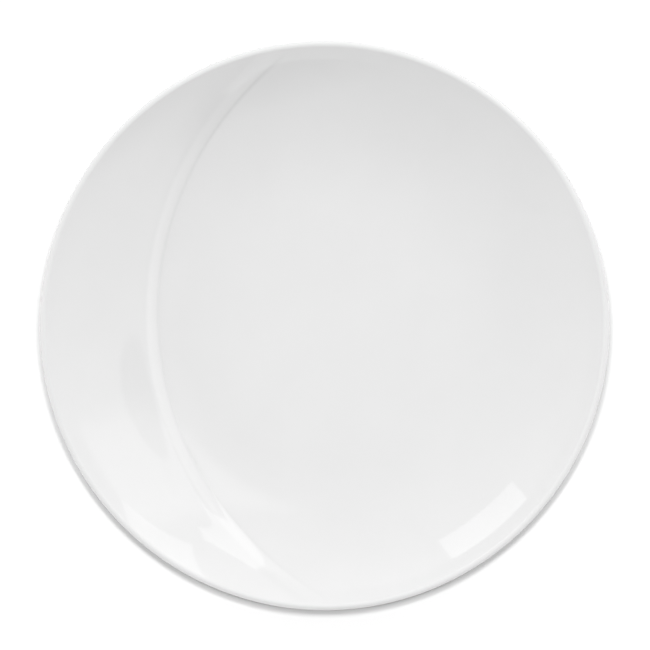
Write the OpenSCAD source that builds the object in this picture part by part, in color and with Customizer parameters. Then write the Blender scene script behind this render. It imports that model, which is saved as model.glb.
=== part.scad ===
// Deep coupe plate of white glazed porcelain. One side of its face is raised into a crescent,
// which belongs to a second, shallower bowl. The step between the two bowls is a fold that sweeps
// across the face along an off-centre arc and fades out at the lip.
// Millimetres, +Z up. The origin is at the middle of the standing face, and the crescent
// lies towards -X. Every outside size is over the glaze.

/* [Plate] */
// Diameter over the lip
plate_d = 250; // [215:1:320]
// Height from the table to the top of the lip
plate_h = 38; // [30:0.5:60]
// Diameter of the flat floor of the well
well_d = 128; // [90:1:140]
// Thickness of the floor over the hollow of the foot
floor_t = 5.5; // [4.8:0.1:8]
// Thickness of the rising wall
wall_t = 4.2; // [3:0.1:4.6]
// How far the rounded lip swells out past each side of the wall
lip_swell = 0.3; // [0.2:0.05:0.6]

/* [Crescent fold] */
// Radius of the arc that the fold follows, seen from above
fold_r = 141.5; // [125:0.5:180]
// Distance from the plate's axis to the nearest point of that arc
fold_reach = 74.5; // [66:0.5:90]
// Height of the flat floor of the crescent's bowl over the floor of the well
fold_h = 1.6; // [1:0.1:4]
// How far that floor stops short of the edge of the well's floor
crescent_in = 13; // [4:0.5:18]
// Height that is left of the fold where it runs into the lip
fold_fade = 0.1; // [0.05:0.05:0.3]

/* [Foot] */
// Outer diameter of the foot ring
foot_d = 142; // [110:1:150]
// Width of the foot ring
foot_w = 5; // [3.5:0.1:8]
// Height of the hollow under the base
foot_hollow = 3; // [1.8:0.1:5]
// Chamfer along both edges of the standing face
foot_chamfer = 0.6; // [0.2:0.1:0.9]
// Height of the bare edge of the foot, where the glaze is wiped away
bare_h = 1; // [0.9:0.1:1.5]

/* [Glaze] */
// Thickness of the glaze
glaze_t = 0.35; // [0.2:0.05:0.6]

/* [Hidden] */
$fn = 180;

// Radii and levels that the profile is drawn between
well_r = well_d / 2;
floor_z = foot_hollow + floor_t;
crescent_floor_r = well_r - crescent_in;
crescent_z = floor_z + fold_h;
foot_ro = foot_d / 2;
foot_ri = foot_ro - foot_w;
// A cut between the two patches of glaze runs up the middle of the foot and stops inside the floor
foot_mid = foot_ro - foot_w / 2;
floor_mid = foot_hollow + floor_t / 2;
// Taller and wider than the plate, for cutters that run out past it
sky = 2 * plate_h;
past = 1;

// The lip is a round bead on the end of the wall
lip_r = wall_t / 2 + lip_swell;
lip_x = plate_d / 2 - lip_r;
lip_z = plate_h - lip_r;

// The wall's inside is an arc that leaves the floor level and ends beside the middle of the lip
lip_run = lip_x - well_r;
lip_rise = lip_z - floor_z;
wall_r = (lip_run ^ 2 + lip_rise ^ 2 - (wall_t / 2) ^ 2) / (2 * lip_rise + wall_t);
wall_centre = [well_r, floor_z + wall_r];
lip_way = ([lip_x, lip_z] - wall_centre) / (wall_r + wall_t / 2);

// The crescent's arc leaves its own floor and ends just proud of the wall's, inside the lip
crescent_end = wall_centre + (wall_r - fold_fade) * lip_way;
crescent_run = crescent_end[0] - crescent_floor_r;
crescent_rise = crescent_end[1] - crescent_z;
crescent_r = (crescent_run ^ 2 + crescent_rise ^ 2) / (2 * crescent_rise);

// Half section of the whole plate, filled up to the lip and drawn inset by a glaze's thickness
module filled_section(inset) {
    reach = 2 * (wall_r + wall_t);
    intersection() {
        translate(wall_centre) circle(wall_r + wall_t - inset);
        polygon([
            wall_centre,
            wall_centre + [0, -reach],
            wall_centre + [reach, -reach],
            wall_centre + reach * lip_way
        ]);
    }
    translate([0, floor_z - wall_t + inset]) square([well_r, wall_t]);
    polygon([
        [0, foot_hollow + inset],
        [foot_ri + inset, foot_hollow + inset],
        [foot_ri + inset, foot_chamfer],
        [foot_ri + inset + foot_chamfer, 0],
        [foot_ro - inset - foot_chamfer, 0],
        [foot_ro - inset, foot_chamfer],
        [foot_ro - inset, lip_z],
        [0, lip_z]
    ]);
}

// Half section of the space in a bowl, whose wall rises from a flat floor on an arc
module hollow_section(floor_r, level, arc_r, inset) {
    translate([0, level - inset]) square([floor_r, sky]);
    intersection() {
        translate([floor_r, level + arc_r]) circle(arc_r + inset);
        translate([floor_r, 0]) square([arc_r + past, level + 2 * arc_r]);
    }
}

// Everything on the well's side of the fold, seen from above
module fold_side(inset) {
    translate([fold_r - fold_reach, 0, 0]) cylinder(h = sky, r = fold_r + inset);
}

// The whole plate, inset by a glaze's thickness all over but on the standing face
module plate_form(inset) {
    difference() {
        rotate_extrude() filled_section(inset);
        rotate_extrude() hollow_section(crescent_floor_r, crescent_z, crescent_r, inset);
        intersection() {
            rotate_extrude() hollow_section(well_r, floor_z, wall_r, inset);
            fold_side(inset);
        }
    }
    rotate_extrude() translate([lip_x, lip_z]) circle(lip_r - inset);
}

// The coat of glaze all round the plate, before it is wiped off the foot
module whole_glaze() {
    difference() {
        plate_form(0);
        plate_form(glaze_t);
    }
}

// The fired porcelain, with its foot ring
module porcelain_body() {
    color("seashell") plate_form(glaze_t);
}

// Glaze over the face, the lip and the outside, down to the bare edge of the foot
module glaze_coat() {
    color("white") difference() {
        whole_glaze();
        translate([0, 0, -past]) cylinder(h = bare_h + past, r = plate_d);
        translate([0, 0, -past]) cylinder(h = floor_mid + past, r = foot_mid);
    }
}

// Glaze under the base, inside the foot ring
module base_glaze() {
    color("whitesmoke") intersection() {
        whole_glaze();
        translate([0, 0, bare_h]) cylinder(h = floor_mid - bare_h, r = foot_mid);
    }
}

porcelain_body();
glaze_coat();
base_glaze();
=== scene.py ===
"""Dresses a deep plate of white glazed porcelain that has a crescent fold across its face.

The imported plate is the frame. Smooth meshes of the same size stand for its solids: the fired
body, the coat of glaze over its face and outside, and the patch of glaze under its base. The
plate stands on a floor that shows white in soft studio light, and is seen from straight above.
"""

import logging
import math
from dataclasses import dataclass
from enum import Enum
from functools import cached_property

import bmesh
import bpy
from mathutils import Matrix, Vector


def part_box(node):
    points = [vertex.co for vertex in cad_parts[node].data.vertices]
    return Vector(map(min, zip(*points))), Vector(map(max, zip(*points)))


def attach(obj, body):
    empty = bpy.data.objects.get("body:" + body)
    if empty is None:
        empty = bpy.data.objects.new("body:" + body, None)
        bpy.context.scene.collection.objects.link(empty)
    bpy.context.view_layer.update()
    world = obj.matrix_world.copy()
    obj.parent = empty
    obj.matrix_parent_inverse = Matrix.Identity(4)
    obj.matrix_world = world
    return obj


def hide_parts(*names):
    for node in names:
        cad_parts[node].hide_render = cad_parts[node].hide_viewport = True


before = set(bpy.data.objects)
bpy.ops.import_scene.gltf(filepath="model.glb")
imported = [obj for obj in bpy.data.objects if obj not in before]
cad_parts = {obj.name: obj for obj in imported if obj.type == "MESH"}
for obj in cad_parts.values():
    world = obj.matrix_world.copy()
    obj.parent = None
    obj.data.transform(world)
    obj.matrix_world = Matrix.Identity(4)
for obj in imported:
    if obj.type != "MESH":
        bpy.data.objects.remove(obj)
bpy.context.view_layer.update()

# A millimetre in metres, and how near to each other two points are one point
MM = 0.001
TINY = MM / 1000
ROOT = "root"

# Segments round the plate, and faces along a quarter of a small round edge
ROUND = 288
EDGE_STEPS = 5
# Faces over the lip and down the outside, where they show and where the glaze covers them
LIP_STEPS = 16
WALL_STEPS = 28
COVERED_LIP_STEPS = 8
COVERED_WALL_STEPS = 16

# Attributes that mark the painted shade along the foot of the fold, a darker line, and the
# painted light on the fold's flank, a lighter band
PAINTED_SHADE = "painted_shade"
PAINTED_LIGHT = "painted_light"

# Sockets of a Mix node that blends colours, by number because several share each name
MIX_SHARE, MIX_FROM, MIX_TO, MIX_RESULT = 0, 6, 7, 2

# A piece's half section: its face, the rest of it, and the way back under the face
HalfSection = tuple[list[Vector], list[Vector], list[Vector]]

log = logging.getLogger("plate")


def linear(colour: str) -> tuple[float, float, float, float]:
    """Turns an sRGB colour into the linear one that a shader takes.

    Args:
        colour: six hex digits after a hash sign.

    Returns:
        Linear red, green and blue, with an alpha of 1.
    """
    parts = [int(colour[i:i + 2], 16) / 255 for i in (1, 3, 5)]
    red, green, blue = (p / 12.92 if p <= 0.04045 else ((p + 0.055) / 1.055) ** 2.4 for p in parts)
    return red, green, blue, 1.0


def arc(centre: Vector, radius: float, start: float, end: float, steps: int) -> list[Vector]:
    """Points along an arc of the half section.

    Args:
        centre: middle of the arc, as a distance from the axis and a height.
        radius: radius of the arc.
        start: angle of the first point, counted from the outward direction towards up.
        end: angle of the last point.
        steps: number of stretches between the points.

    Returns:
        The points in order, both ends included.
    """
    angles = [start + (end - start) * i / steps for i in range(steps + 1)]
    return [centre + radius * Vector((math.cos(a), math.sin(a))) for a in angles]


def spread(start: float, end: float, steps: int, gather: float = 1.0) -> list[float]:
    """Values from one number to another, drawn together towards the first.

    Args:
        start: the first value.
        end: the value that the last one stops short of.
        steps: how many values there are.
        gather: 1 for even steps, more to draw the values towards the first.

    Returns:
        The values in order, without the end.
    """
    return [start + (end - start) * (i / steps) ** gather for i in range(steps)]


@dataclass(frozen=True)
class Section:
    """Half section of the plate over its glaze, as radii and levels in metres."""

    rim: float
    height: float
    hollow: float
    foot_inner: float
    bare: float
    glaze: float
    well: float = 64 * MM
    floor: float = 5.5 * MM
    # Thickness of the wall where it leaves the floor, from which it thins to the round lip
    wall: float = 4.2 * MM
    lip_radius: float = 1.6 * MM
    foot_outer: float = 71 * MM
    foot_fillet: float = 2.5 * MM
    base_fillet: float = 1.5 * MM
    edge_round: float = 0.6 * MM

    @classmethod
    def from_frame(cls) -> "Section":
        """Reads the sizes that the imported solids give.

        Returns:
            The section, with the rest of its sizes at their defaults.
        """
        coat_low, coat_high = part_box("glaze_coat")
        body_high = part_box("porcelain_body")[1]
        base_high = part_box("base_glaze")[1]
        glaze = coat_high[0] - body_high[0]
        return cls(
            rim=coat_high[0],
            height=coat_high[2],
            hollow=base_high[2] - glaze,
            foot_inner=base_high[0] - glaze,
            bare=coat_low[2],
            glaze=glaze,
        )

    @cached_property
    def floor_level(self) -> float:
        """Height of the floor of the well."""
        return self.hollow + self.floor

    @cached_property
    def lip_centre(self) -> Vector:
        """Middle of the round lip."""
        return Vector((self.rim - self.lip_radius, self.height - self.lip_radius))

    @cached_property
    def wall_radius(self) -> float:
        """Fits the inside of the wall to the floor and the lip.

        Returns:
            The radius of the arc that it follows.
        """
        run = self.lip_centre.x - self.well
        rise = self.lip_centre.y - self.floor_level
        return (run ** 2 + rise ** 2 - self.lip_radius ** 2) / (2 * (rise + self.lip_radius))

    @cached_property
    def wall_centre(self) -> Vector:
        """Middle of that arc."""
        return Vector((self.well, self.floor_level + self.wall_radius))

    @cached_property
    def lip_angle(self) -> float:
        """Angle of the lip, seen from the middle of the wall's arc."""
        way = self.lip_centre - self.wall_centre
        return math.atan2(way.y, way.x)

    @cached_property
    def back_radius(self) -> float:
        """Fits the outside of the wall to the floor's underside and the lip.

        Returns:
            The radius of the arc that it follows.
        """
        run = self.lip_centre.x - self.well
        rise = self.lip_centre.y - self.floor_level + self.wall
        return (run ** 2 + rise ** 2 - self.lip_radius ** 2) / (2 * (rise - self.lip_radius))

    @cached_property
    def back_centre(self) -> Vector:
        """Middle of that arc."""
        return Vector((self.well, self.floor_level - self.wall + self.back_radius))

    @cached_property
    def back_angle(self) -> float:
        """Angle of the lip, seen from there."""
        way = self.lip_centre - self.back_centre
        return math.atan2(way.y, way.x)

    @cached_property
    def face_end(self) -> float:
        """Distance from the axis to where the face runs into the lip."""
        return self.well + self.wall_radius * math.cos(self.lip_angle)

    def face_level(self, radius: float) -> float:
        """Height of the plain face at a distance from the axis."""
        run = min(max(radius - self.well, 0.0), self.wall_radius)
        return self.wall_centre.y - math.sqrt(self.wall_radius ** 2 - run ** 2)

    def face(self, stations: list[float], inset: float) -> list[Vector]:
        """Points along the plain face, from the axis to the lip.

        Args:
            stations: distances from the axis.
            inset: how far the points lie under the glaze.

        Returns:
            One point for each distance.
        """
        points = []
        for radius in stations:
            lean = max(radius - self.well, 0.0) / self.wall_radius
            drop = inset * math.sqrt(1 - lean ** 2)
            points.append(Vector((radius + inset * lean, self.face_level(radius) - drop)))
        return points

    def lip(self, inset: float, steps: int) -> list[Vector]:
        """Points over the round lip, from the face to the outside."""
        start = self.lip_angle + math.pi
        return arc(self.lip_centre, self.lip_radius - inset, start, self.back_angle, steps)

    def outside(self, inset: float, steps: int) -> list[Vector]:
        """Points from the lip down the outside to the side of the foot.

        Args:
            inset: how far the points lie under the glaze.
            steps: number of stretches down the wall.

        Returns:
            The points in order. The last one is where the foot's side is upright.
        """
        blend_x = self.foot_outer + self.foot_fillet
        blend_reach = self.back_radius + self.foot_fillet
        blend_drop = math.sqrt(blend_reach ** 2 - (blend_x - self.well) ** 2)
        blend = Vector((blend_x, self.back_centre.y - blend_drop))
        away = math.atan2(-blend_drop, blend_x - self.well)
        wall = arc(self.back_centre, self.back_radius - inset, self.back_angle, away, steps)
        turn = arc(blend, self.foot_fillet + inset, away + math.pi, math.pi, EDGE_STEPS)
        return wall[1:] + turn[1:]

    def under(self, inset: float) -> list[Vector]:
        """Points from the foot's inner side, up its fillet and along the base to the axis.

        Args:
            inset: how far the points lie under the glaze.

        Returns:
            The points in order.
        """
        turn = Vector((self.foot_inner - self.base_fillet, self.hollow - self.base_fillet))
        fillet = arc(turn, self.base_fillet + inset, 0.0, math.pi / 2, EDGE_STEPS)
        level = self.hollow + inset
        return fillet + [Vector((r, level)) for r in reversed(spread(0.0, turn.x, EDGE_STEPS))]


class Rings(Enum):
    """How many rings a face is made of, as a share of the most."""

    SHOWN = 1.0
    BODY = 0.5
    UNDERSIDE = 0.3


@dataclass(frozen=True)
class Fold:
    """The crescent: past an off-centre arc the face steps up, then sinks back to the lip."""

    section: Section
    arc_radius: float = 141.5 * MM
    reach: float = 74.5 * MM
    # Height of the step at the middle of the crescent
    rise: float = 5.2 * MM
    # Width of its straight flank there, and the share of it that is round at the foot and the crest
    climb: float = 6.0 * MM
    rounding: float = 0.28
    # Share of the height that comes from a slow swell, how far that reaches and how it starts
    swell: float = 0.76
    swell_reach: float = 3.65 * MM
    swell_curl: float = 1.3
    # Towards the crescent's ends the step sinks and spreads, by these powers of its width
    taper: float = 0.85
    widen: float = 0.5
    # Share of its width over which the crescent holds its height, and how late it falls after that
    hold: float = 0.47
    steep: float = 1.7
    # The fold has died away this far short of the end of the face
    fade: float = 0.8 * MM
    # Half width of the painted shade line along the foot of the step, a darker glaze colour
    line: float = 0.7 * MM
    # How much fainter it is at the middle of the crescent than at its ends
    line_drop: float = 0.9
    # It also thins out towards the end of the fold at -Y, by this share at the rim
    line_fade: float = 0.9
    # It fades where the crescent is narrower than this share of its full width, and ends at its tips
    line_end: float = 0.2
    # Distance from the arc to the middle of the band of painted light on the flank, half the
    # width of that band, and how square its shoulders are
    band: float = 2.7 * MM
    band_width: float = 2.4 * MM
    band_shoulder: int = 4
    # Most rings on either side of the arc, and how they gather at it
    well_rings: int = 44
    well_gather: float = 1.4
    crescent_rings: int = 120
    crescent_gather: float = 1.5

    @cached_property
    def offset(self) -> float:
        """Distance from the plate's axis to the middle of the arc."""
        return self.arc_radius - self.reach

    def edge(self, angle: float) -> float:
        """Distance from the axis to the foot of the fold.

        Args:
            angle: direction from the axis, counted from the middle of the crescent.

        Returns:
            The distance, kept short of the lip.
        """
        across = self.offset * math.sin(angle)
        plan = math.sqrt(self.arc_radius ** 2 - across ** 2) - self.offset * math.cos(angle)
        return min(plan, self.section.face_end - self.fade)

    def wide(self, edge: float) -> float:
        """Width of the crescent on a spoke, as a share of its width at the middle."""
        last = self.section.face_end - self.fade
        return (last - edge) / (last - self.reach)

    def away(self, x: float, y: float) -> float:
        """Distance of a place from the arc, above 0 on the crescent's side."""
        return math.hypot(x - self.offset, y) - self.arc_radius

    def flank(self, share: float) -> float:
        """Height of the straight flank, from 0 to 1, which is round at its foot and its crest.

        Args:
            share: distance from its foot, as a share of its width.

        Returns:
            The height.
        """
        turn = self.rounding
        share = min(share, 1.0)
        height = share - turn / 2
        if share < turn:
            height = share ** 2 / (2 * turn)
        elif share > 1 - turn:
            height = 1 - turn - (1 - share) ** 2 / (2 * turn)
        return height / (1 - turn)

    def lift(self, x: float, y: float, edge: float) -> float:
        """Height of the crescent over the plain face.

        Args:
            x: place along the plate's mirror plane.
            y: place across it.
            edge: distance from the axis to the foot of the fold on this spoke.

        Returns:
            The height, which is 0 in the well and at the lip.
        """
        share = (math.hypot(x, y) - edge) / (self.section.face_end - edge)
        wide = self.wide(edge)
        away = self.away(x, y)
        if away <= 0.0 or wide <= 0.0 or share >= 1.0:
            return 0.0
        drawn = away * wide ** self.widen
        flank = self.flank(drawn / self.climb)
        swell = 1 - math.exp(-(drawn / self.swell_reach) ** self.swell_curl)
        step = flank + self.swell * (swell - flank)
        back = max(share - self.hold, 0.0) / (1 - self.hold)
        fall = 1 - back ** self.steep
        return self.rise * wide ** self.taper * step * fall

    def painted_shade_and_light(self, x: float, y: float) -> tuple[float, float]:
        """How much painted shade and painted light a place takes.

        Args:
            x: place along the plate's mirror plane.
            y: place across it.

        Returns:
            How strong the painted shade along the foot of the step and the painted light on the
            flank are there, both from 0 to 1.
        """
        away = self.away(x, y)
        wide = max(0.0, self.wide(self.edge(math.atan2(y, -x))))
        kept = 1 - self.line_fade * max(0.0, -y) / self.section.rim
        left = min(wide / self.line_end, 1.0) * kept
        painted_shade = left * (1 - self.line_drop * wide) * math.exp(-(away / self.line) ** 2)
        across = (away - self.band) / self.band_width
        painted_light = wide * math.exp(-across ** self.band_shoulder)
        return painted_shade, painted_light

    def shift(self, point: Vector) -> Vector:
        """Where a point of the plain face lies on the folded one.

        Args:
            point: a point on the plain face, or under it.

        Returns:
            The point moved along its spoke, so that the rings follow the fold, and lifted.
        """
        section = self.section
        radius = math.hypot(point.x, point.y)
        if radius < TINY:
            return point.copy()
        end = section.face_end
        edge = self.edge(math.atan2(point.y, -point.x))
        if radius <= self.reach:
            moved = radius * edge / self.reach
        else:
            moved = edge + (radius - self.reach) * (end - edge) / (end - self.reach)
        x, y = point.x * moved / radius, point.y * moved / radius
        level = point.z + section.face_level(moved) - section.face_level(radius)
        return Vector((x, y, level + self.lift(x, y, edge)))

    def stations(self, rings: Rings) -> list[float]:
        """Distances from the axis for the rings of the face, gathered at the fold.

        Args:
            rings: how many rings there are.

        Returns:
            The distances in order, from the axis to the end of the face.
        """
        end = self.section.face_end
        well = spread(self.reach, 0.0, round(self.well_rings * rings.value), self.well_gather)
        outer = round(self.crescent_rings * rings.value)
        crescent = spread(self.reach, end, outer, self.crescent_gather)
        return [0.0] + well[::-1] + crescent[1:] + [end]


def add_node(
    tree: bpy.types.NodeTree, kind: str, links: dict[str | int, object], **settings: object,
) -> bpy.types.Node:
    """Adds a node with its settings and what feeds it.

    Args:
        tree: the node tree.
        kind: the node's type name.
        links: input name or number to the socket that feeds it, or to a plain value.
        settings: attributes of the node.

    Returns:
        The new node.
    """
    node = tree.nodes.new(kind)
    for name, value in settings.items():
        setattr(node, name, value)
    for name, value in links.items():
        if isinstance(value, bpy.types.NodeSocket):
            tree.links.new(value, node.inputs[name])
        else:
            node.inputs[name].default_value = value
    return node


def new_tree(name: str) -> tuple[bpy.types.Material, bpy.types.NodeTree]:
    """Makes an empty node material.

    Args:
        name: the material's name.

    Returns:
        The material and its node tree.
    """
    material = bpy.data.materials.new(name)
    material.use_nodes = True
    material.node_tree.nodes.clear()
    return material, material.node_tree


@dataclass(frozen=True)
class WhiteGlaze:
    """Glossy feldspar glaze, fired on white porcelain.

    To the eye it is a neutral white with crisp reflections that waver a little, because the
    melt levels out over a few centimetres and keeps a trace of orange peel.
    """

    colour: str = "#EFEFEF"
    cloud_colour: str = "#EBEBEB"
    # Painted shade along the foot of the fold, and painted light in a band on its flank
    painted_shade_colour: str = "#E1E1E1"
    painted_light_colour: str = "#F7F7F7"
    roughness: float = 0.03
    ior: float = 1.5
    # Size of its faint clouds, then size and height of its slow waves and of its orange peel
    cloud: float = 26 * MM
    wave: float = 30 * MM
    wave_height: float = 0.02 * MM
    peel: float = 1.6 * MM
    peel_height: float = 0.0006 * MM

    @cached_property
    def material(self) -> bpy.types.Material:
        """Makes the material, once for all the pieces that wear it.

        Returns:
            The material.
        """
        material, tree = new_tree("white_glaze")
        place = add_node(tree, "ShaderNodeTexCoord", {}).outputs["Object"]
        cloud = add_node(tree, "ShaderNodeTexNoise", {
            "Vector": place, "Scale": 1 / self.cloud, "Detail": 3.0,
        })
        tint = add_node(tree, "ShaderNodeMix", {
            MIX_SHARE: cloud.outputs["Fac"],
            MIX_FROM: linear(self.colour),
            MIX_TO: linear(self.cloud_colour),
        }, data_type="RGBA")
        # Painted light on the fold's flank and painted shade along its foot, mixed into the glaze's
        # colour
        for mark, colour in ((PAINTED_LIGHT, self.painted_light_colour), (PAINTED_SHADE, self.painted_shade_colour)):
            share = add_node(tree, "ShaderNodeAttribute", {}, attribute_name=mark)
            tint = add_node(tree, "ShaderNodeMix", {
                MIX_SHARE: share.outputs["Fac"],
                MIX_FROM: tint.outputs[MIX_RESULT],
                MIX_TO: linear(colour),
            }, data_type="RGBA")
        wave = add_node(tree, "ShaderNodeTexNoise", {
            "Vector": place, "Scale": 1 / self.wave, "Detail": 1.0,
        })
        slow = add_node(tree, "ShaderNodeBump", {
            "Height": wave.outputs["Fac"], "Distance": self.wave_height, "Strength": 1.0,
        })
        peel = add_node(tree, "ShaderNodeTexNoise", {
            "Vector": place, "Scale": 1 / self.peel, "Detail": 1.0,
        })
        fine = add_node(tree, "ShaderNodeBump", {
            "Height": peel.outputs["Fac"], "Distance": self.peel_height, "Strength": 1.0,
            "Normal": slow.outputs["Normal"],
        })
        shader = add_node(tree, "ShaderNodeBsdfPrincipled", {
            "Base Color": tint.outputs[MIX_RESULT],
            "Roughness": self.roughness,
            "IOR": self.ior,
            "Normal": fine.outputs["Normal"],
        })
        add_node(tree, "ShaderNodeOutputMaterial", {"Surface": shader.outputs["BSDF"]})
        return material


@dataclass(frozen=True)
class BarePorcelain:
    """Fired porcelain with no glaze, sanded where the plate stands on it.

    To the eye it is matt and a touch warmer than the glaze, with a fine grain.
    """

    colour: str = "#E4E0D8"
    worn_colour: str = "#D6D0C6"
    roughness: float = 0.62
    ior: float = 1.5
    # Size, height and strength of its grain, which is drawn coarser than a real one so that it
    # shows, and size of its worn patches
    grain: float = 0.4 * MM
    grain_height: float = 0.02 * MM
    grain_strength: float = 0.6
    stain: float = 14 * MM

    @cached_property
    def material(self) -> bpy.types.Material:
        """Makes the material.

        Returns:
            The material.
        """
        material, tree = new_tree("bare_porcelain")
        place = add_node(tree, "ShaderNodeTexCoord", {}).outputs["Object"]
        stain = add_node(tree, "ShaderNodeTexNoise", {
            "Vector": place, "Scale": 1 / self.stain, "Detail": 4.0,
        })
        tint = add_node(tree, "ShaderNodeMix", {
            MIX_SHARE: stain.outputs["Fac"],
            MIX_FROM: linear(self.colour),
            MIX_TO: linear(self.worn_colour),
        }, data_type="RGBA")
        grain = add_node(tree, "ShaderNodeTexNoise", {
            "Vector": place, "Scale": 1 / self.grain, "Detail": 2.0,
        })
        bump = add_node(tree, "ShaderNodeBump", {
            "Height": grain.outputs["Fac"], "Distance": self.grain_height,
            "Strength": self.grain_strength,
        })
        shader = add_node(tree, "ShaderNodeBsdfPrincipled", {
            "Base Color": tint.outputs[MIX_RESULT],
            "Roughness": self.roughness,
            "IOR": self.ior,
            "Normal": bump.outputs["Normal"],
        })
        add_node(tree, "ShaderNodeOutputMaterial", {"Surface": shader.outputs["BSDF"]})
        return material


def spin_piece(
    name: str, face: list[Vector], rest: list[Vector], back: list[Vector], fold: Fold,
) -> bpy.types.Object:
    """Spins a closed half section into a solid and folds its face.

    Args:
        name: the piece's name.
        face: points along the face, from the axis outwards, which the fold moves.
        rest: points that follow, which it doesn't move.
        back: points that follow on the underside of a face, back to the axis, which it moves too.
        fold: the fold.

    Returns:
        The piece, linked to the scene.
    """
    solid = bmesh.new()
    folds = solid.verts.layers.int.new("folds")
    painted_shade = solid.verts.layers.float.new(PAINTED_SHADE)
    painted_light = solid.verts.layers.float.new(PAINTED_LIGHT)
    chain = []
    for points, moved in ((face, 1), (rest, 0), (back, 1)):
        for point in points:
            vert = solid.verts.new((point.x, 0.0, point.y))
            vert[folds] = moved
            chain.append(vert)
    edges = [solid.edges.new(pair) for pair in zip(chain, chain[1:])]
    bmesh.ops.spin(
        solid, geom=chain + edges, cent=(0, 0, 0), axis=(0, 0, 1), dvec=(0, 0, 0),
        angle=2 * math.pi, steps=ROUND, use_merge=True, use_duplicate=False,
    )
    bmesh.ops.remove_doubles(solid, verts=solid.verts, dist=TINY)
    bmesh.ops.recalc_face_normals(solid, faces=solid.faces)
    for vert in solid.verts:
        if vert[folds]:
            vert.co = fold.shift(vert.co)
            # Painted shade along the foot of the fold and painted light on its flank, as colour
            # shares
            vert[painted_shade], vert[painted_light] = fold.painted_shade_and_light(vert.co.x, vert.co.y)
    for each in solid.faces:
        each.smooth = True
    solid.verts.layers.int.remove(folds)
    mesh = bpy.data.meshes.new(name)
    solid.to_mesh(mesh)
    solid.free()
    piece = bpy.data.objects.new(name, mesh)
    bpy.context.scene.collection.objects.link(piece)
    return piece


@dataclass
class Piece:
    """One of the plate's materials as a closed mesh, standing for a node of the frame."""

    section: Section
    fold: Fold
    finish: WhiteGlaze | BarePorcelain
    name: str = ""
    node: str = ""
    slot: str = ""

    def outline(self) -> HalfSection:
        """The half section, which each kind of piece draws for itself."""
        raise NotImplementedError

    def dress(self, piece: bpy.types.Object) -> None:
        """Gives the piece its finish."""
        piece.data.materials.append(self.finish.material)

    def build(self) -> bpy.types.Object:
        """Returns:
            The piece.
        """
        piece = spin_piece(self.name, *self.outline(), self.fold)
        self.dress(piece)
        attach(piece, ROOT)
        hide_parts(self.node)
        log.info("%s: %d faces, stands for %s", self.name, len(piece.data.polygons), self.node)
        return piece


@dataclass
class FiredBody(Piece):
    """The fired porcelain, with its foot ring."""

    name: str = "fired_body"
    node: str = "porcelain_body"
    slot: str = "porcelain"

    def outline(self) -> HalfSection:
        """Draws the body under the glaze, with its rounded foot.

        Returns:
            Its face, then the lip, outside, foot and base, and no way back.
        """
        section, inset = self.section, self.section.glaze
        edge = section.edge_round
        outer = Vector((section.foot_outer - inset - edge, edge))
        inner = Vector((section.foot_inner + inset + edge, edge))
        rest = section.lip(inset, COVERED_LIP_STEPS)[1:]
        rest += section.outside(inset, COVERED_WALL_STEPS)
        rest += arc(outer, edge, 0.0, -math.pi / 2, EDGE_STEPS)
        rest += arc(inner, edge, -math.pi / 2, -math.pi, EDGE_STEPS)
        rest += section.under(inset)
        return section.face(self.fold.stations(Rings.BODY), inset), rest, []


@dataclass
class GlazeCoat(Piece):
    """The glaze over the face, the lip and the outside, down to the bare edge of the foot."""

    name: str = "face_glaze"
    node: str = "glaze_coat"
    slot: str = "glaze"

    def outline(self) -> HalfSection:
        """Draws the coat, with its round end over the foot.

        Returns:
            The face, then the outside there and back, and the face's underside.
        """
        section, glaze = self.section, self.section.glaze
        drip = Vector((section.foot_outer - glaze, section.bare + glaze))
        rest = section.lip(0.0, LIP_STEPS)[1:] + section.outside(0.0, WALL_STEPS)
        rest += arc(drip, glaze, 0.0, -math.pi / 2, EDGE_STEPS)
        inside = section.lip(glaze, COVERED_LIP_STEPS)[1:]
        inside += section.outside(glaze, COVERED_WALL_STEPS)
        rest += inside[::-1]
        face = section.face(self.fold.stations(Rings.SHOWN), 0.0)
        underside = section.face(self.fold.stations(Rings.UNDERSIDE), glaze)
        return face, rest, underside[::-1]


@dataclass
class BaseGlaze(Piece):
    """The glaze under the base, inside the foot ring."""

    name: str = "under_glaze"
    node: str = "base_glaze"
    slot: str = "glaze"

    def outline(self) -> HalfSection:
        """Draws the patch, with its round end inside the foot.

        Returns:
            No face, the patch there and back, and no way back under a face.
        """
        section, glaze = self.section, self.section.glaze
        drip = Vector((section.foot_inner + glaze, section.bare + glaze))
        rest = section.under(0.0)[::-1]
        rest += arc(drip, glaze, math.pi, 1.5 * math.pi, EDGE_STEPS)
        rest += section.under(glaze)
        return [], rest, []


@dataclass(frozen=True)
class SoftBox:
    """A lit panel that faces the plate, with its angles in degrees in the picture's frame."""

    azimuth: float
    elevation: float
    wide: float
    tall: float
    glow: float
    roll: float = 0.0
    # Width of the border in which its light fades out
    feather: float = 0.0
    distance: float = 1.1
    # Whether it lights nothing but the floor
    floor_only: bool = False


def floor_lamp(azimuth: float, elevation: float) -> SoftBox:
    """A small, strong lamp high overhead, which lights nothing but the floor.

    Args:
        azimuth: angle from the picture's right, in degrees towards its top.
        elevation: angle over the floor, in degrees.

    Returns:
        The lamp.
    """
    return SoftBox(
        azimuth, elevation, wide=0.36, tall=0.16, glow=1275.0, distance=6.0, floor_only=True,
    )


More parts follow.
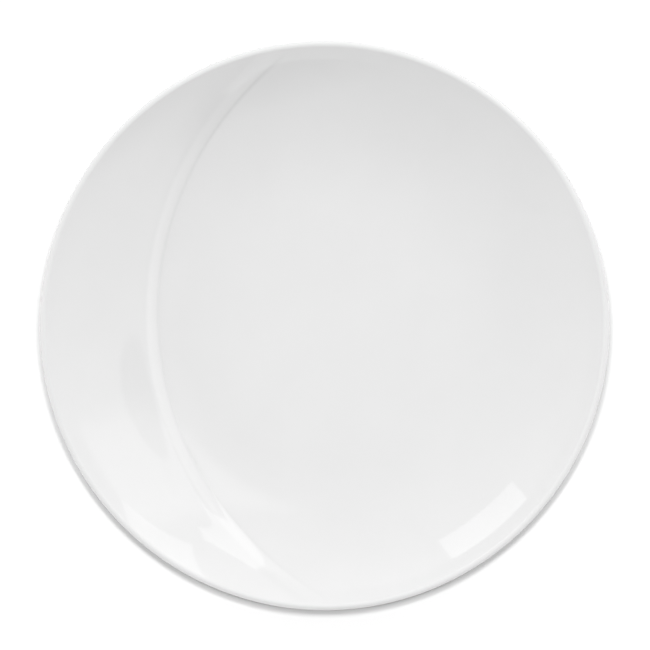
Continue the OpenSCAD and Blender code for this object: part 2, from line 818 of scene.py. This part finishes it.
class Lamp(Enum):
    """The studio's softboxes, by where they stand."""

    LEFT = SoftBox(azimuth=129.0, elevation=12.0, wide=0.41, tall=0.44, glow=1.5)
    RIGHT = SoftBox(azimuth=54.0, elevation=13.5, wide=0.345, tall=0.5, glow=1.36, roll=20.0)
    RIGHT_TOP = SoftBox(
        azimuth=40.0, elevation=48.5, wide=0.68, tall=1.25, glow=0.9, roll=-11.0, feather=0.19,
    )
    # Half a ring overhead, which lights the floor white and gives the plate its narrow shadow. It
    # is highest at its ends, so that the shadow narrows towards its own
    RING_1 = floor_lamp(30.0, 81.9)
    RING_2 = floor_lamp(60.0, 81.0)
    RING_3 = floor_lamp(90.0, 80.4)
    RING_4 = floor_lamp(120.0, 81.0)
    RING_5 = floor_lamp(150.0, 81.9)


@dataclass(frozen=True)
class DarkCard:
    """A round dark patch in the room's light, such as a black card gives.

    Its angles are in degrees in the picture's frame.
    """

    azimuth: float
    elevation: float
    # Half angle of the patch, half the width of its soft edge and the share of light left in it
    size: float
    edge: float
    light: float


class Card(Enum):
    """The studio's dark cards, by where they hang."""

    OVER = DarkCard(azimuth=26.3, elevation=55.7, size=12.6, edge=1.0, light=0.1)
    FRONT = DarkCard(azimuth=293.0, elevation=0.0, size=28.0, edge=10.0, light=0.1)


@dataclass(frozen=True)
class Studio:
    """The floor, soft light and a camera straight above the plate."""

    section: Section
    # The crescent is turned this much from level in the picture, in degrees
    turn: float = 4.46
    # Distance from the lip to the camera, and the width of what it sees there
    distance: float = 1.2
    view_width: float = 285.0 * MM
    # Width of the camera's sensor in millimetres, and the nearest that it sees in metres
    sensor: float = 36.0
    nearest: float = 0.05
    # Where the picture's middle lies, from the plate's axis
    centre: tuple[float, float] = (0.13 * MM, 0.2 * MM)
    # Length of the floor's sides
    floor_size: float = 6.0
    # Colour of the floor for the light that it throws back, and as it is seen or mirrored
    floor_colour: str = "#767676"
    floor_shown: str = "#8B8B8B"
    # Light of the room on its bright side and opposite, and where the bright side is
    room_bright: float = 1.46
    room_dim: float = 1.07
    room_azimuth: float = 88.0
    room_elevation: float = -46.0

    def aim(self, azimuth: float, elevation: float) -> Vector:
        """Direction towards a place in the picture's frame.

        Args:
            azimuth: angle from the picture's right, in degrees towards its top.
            elevation: angle over the floor, in degrees.

        Returns:
            The direction, in the plate's frame.
        """
        around = math.radians(azimuth - self.turn)
        rise = math.radians(elevation)
        level = math.cos(rise)
        return Vector((math.cos(around) * level, math.sin(around) * level, math.sin(rise)))

    def paper(self) -> bpy.types.Material:
        """Makes the floor's matt grey paper.

        To the eye it is white where the ring of lamps lights it, and its own grey shows in the
        plate's shadow. The light that it throws back is that of a darker paper.

        Returns:
            The material.
        """
        material, tree = new_tree("studio_paper")
        path = add_node(tree, "ShaderNodeLightPath", {})
        mirrored = add_node(tree, "ShaderNodeMath", {
            0: path.outputs["Is Glossy Ray"], 1: path.outputs["Is Transmission Ray"],
        }, operation="MAXIMUM")
        seen = add_node(tree, "ShaderNodeMath", {
            0: path.outputs["Is Camera Ray"], 1: mirrored.outputs[0],
        }, operation="MAXIMUM")
        plain = add_node(tree, "ShaderNodeBsdfDiffuse", {"Color": linear(self.floor_colour)})
        shown = add_node(tree, "ShaderNodeBsdfDiffuse", {"Color": linear(self.floor_shown)})
        mix = add_node(tree, "ShaderNodeMixShader", {
            0: seen.outputs[0], 1: plain.outputs[0], 2: shown.outputs[0],
        })
        add_node(tree, "ShaderNodeOutputMaterial", {"Surface": mix.outputs[0]})
        return material

    def floor(self) -> bpy.types.Collection:
        """Lays the floor.

        Returns:
            A collection of the floor alone, for the lamps that light nothing else.
        """
        sheet = bmesh.new()
        bmesh.ops.create_grid(sheet, x_segments=1, y_segments=1, size=self.floor_size / 2)
        mesh = bpy.data.meshes.new("studio_floor")
        sheet.to_mesh(mesh)
        sheet.free()
        floor = bpy.data.objects.new("studio_floor", mesh)
        bpy.context.scene.collection.objects.link(floor)
        floor.data.materials.append(self.paper())
        alone = bpy.data.collections.new("floor_alone")
        alone.objects.link(floor)
        return alone

    def hang(self, lamp: Lamp, floor_alone: bpy.types.Collection) -> None:
        """Hangs a softbox that faces the plate.

        Args:
            lamp: which softbox.
            floor_alone: the floor, for a softbox that lights nothing else.
        """
        box = lamp.value
        way = self.aim(box.azimuth, box.elevation)
        data = bpy.data.lights.new(lamp.name.lower(), "AREA")
        data.shape = "RECTANGLE"
        data.size, data.size_y = box.wide, box.tall
        # The power goes with the panel's area, so that a larger panel is no dimmer
        data.energy = box.glow * box.wide * box.tall * math.pi
        if box.feather:
            self.soften(data, box)
        lit = bpy.data.objects.new(lamp.name.lower(), data)
        facing = way.to_track_quat("Z", "Y").to_matrix().to_4x4()
        roll = Matrix.Rotation(math.radians(box.roll), 4, "Z")
        place = Vector((0, 0, self.section.height / 2)) + box.distance * way
        lit.matrix_world = Matrix.Translation(place) @ facing @ roll
        lit.visible_camera = False
        bpy.context.scene.collection.objects.link(lit)
        if box.floor_only:
            lit.visible_glossy = False
            lit.light_linking.receiver_collection = floor_alone

    def soften(self, data: bpy.types.AreaLight, box: SoftBox) -> None:
        """Fades a softbox out towards its edges.

        Args:
            data: its lamp.
            box: its sizes.
        """
        data.use_nodes = True
        tree = data.node_tree
        tree.nodes.clear()
        place = add_node(tree, "ShaderNodeNewGeometry", {}).outputs["Parametric"]
        split = add_node(tree, "ShaderNodeSeparateXYZ", {0: place})
        # Places on the panel run from 0 to 1 both ways, so this is its middle and its half width
        half = 0.5
        fades = []
        for axis, size in enumerate((box.wide, box.tall)):
            centred = add_node(tree, "ShaderNodeMath", {
                0: split.outputs[axis], 1: half,
            }, operation="SUBTRACT")
            away = add_node(tree, "ShaderNodeMath", {0: centred.outputs[0]}, operation="ABSOLUTE")
            fades.append(add_node(tree, "ShaderNodeMapRange", {
                "Value": away.outputs[0],
                "From Min": half - box.feather / size,
                "From Max": half,
                "To Min": 1.0,
                "To Max": 0.0,
            }, interpolation_type="SMOOTHSTEP").outputs[0])
        both = add_node(tree, "ShaderNodeMath", {0: fades[0], 1: fades[1]}, operation="MULTIPLY")
        light = add_node(tree, "ShaderNodeEmission", {"Strength": both.outputs[0]})
        add_node(tree, "ShaderNodeOutputLight", {"Surface": light.outputs[0]})

    def room(self) -> None:
        """Sets the soft light of the room, brighter on one side and dark where the cards hang."""
        world = bpy.data.worlds.new("studio_room")
        bpy.context.scene.world = world
        world.use_nodes = True
        tree = world.node_tree
        tree.nodes.clear()
        way = add_node(tree, "ShaderNodeTexCoord", {}).outputs["Generated"]
        side = add_node(tree, "ShaderNodeVectorMath", {
            0: way, 1: self.aim(self.room_azimuth, self.room_elevation),
        }, operation="DOT_PRODUCT")
        light = add_node(tree, "ShaderNodeMapRange", {
            "Value": side.outputs["Value"],
            "From Min": -1.0,
            "From Max": 1.0,
            "To Min": self.room_dim,
            "To Max": self.room_bright,
        })
        for card in (each.value for each in Card):
            near = add_node(tree, "ShaderNodeVectorMath", {
                0: way, 1: self.aim(card.azimuth, card.elevation),
            }, operation="DOT_PRODUCT")
            shade = add_node(tree, "ShaderNodeMapRange", {
                "Value": near.outputs["Value"],
                "From Min": math.cos(math.radians(card.size + card.edge)),
                "From Max": math.cos(math.radians(card.size - card.edge)),
                "To Min": 1.0,
                "To Max": card.light,
            })
            light = add_node(tree, "ShaderNodeMath", {
                0: light.outputs[0], 1: shade.outputs[0],
            }, operation="MULTIPLY")
        room = add_node(tree, "ShaderNodeBackground", {"Strength": light.outputs[0]})
        add_node(tree, "ShaderNodeOutputWorld", {"Surface": room.outputs[0]})

    def camera(self) -> bpy.types.Object:
        """Hangs the camera straight above the plate.

        Returns:
            The camera.
        """
        data = bpy.data.cameras.new("overhead")
        data.sensor_width = self.sensor
        data.lens = self.sensor * self.distance / self.view_width
        data.clip_start = self.nearest
        camera = bpy.data.objects.new("overhead", data)
        turn = Matrix.Rotation(-math.radians(self.turn), 4, "Z")
        place = Vector((self.centre[0], self.centre[1], self.section.height + self.distance))
        camera.matrix_world = turn @ Matrix.Translation(place)
        bpy.context.scene.collection.objects.link(camera)
        bpy.context.scene.camera = camera
        return camera


def main() -> None:
    """Builds the plate's pieces, then the studio round them."""
    logging.basicConfig(level=logging.INFO)
    bpy.context.scene.view_settings.view_transform = "Standard"
    section = Section.from_frame()
    fold = Fold(section)
    glaze = WhiteGlaze()
    for piece in (
        FiredBody(section, fold, BarePorcelain()),
        GlazeCoat(section, fold, glaze),
        BaseGlaze(section, fold, glaze),
    ):
        piece.build()
    studio = Studio(section)
    floor_alone = studio.floor()
    for lamp in Lamp:
        studio.hang(lamp, floor_alone)
    studio.room()
    studio.camera()


if __name__ == "__main__":
    main()
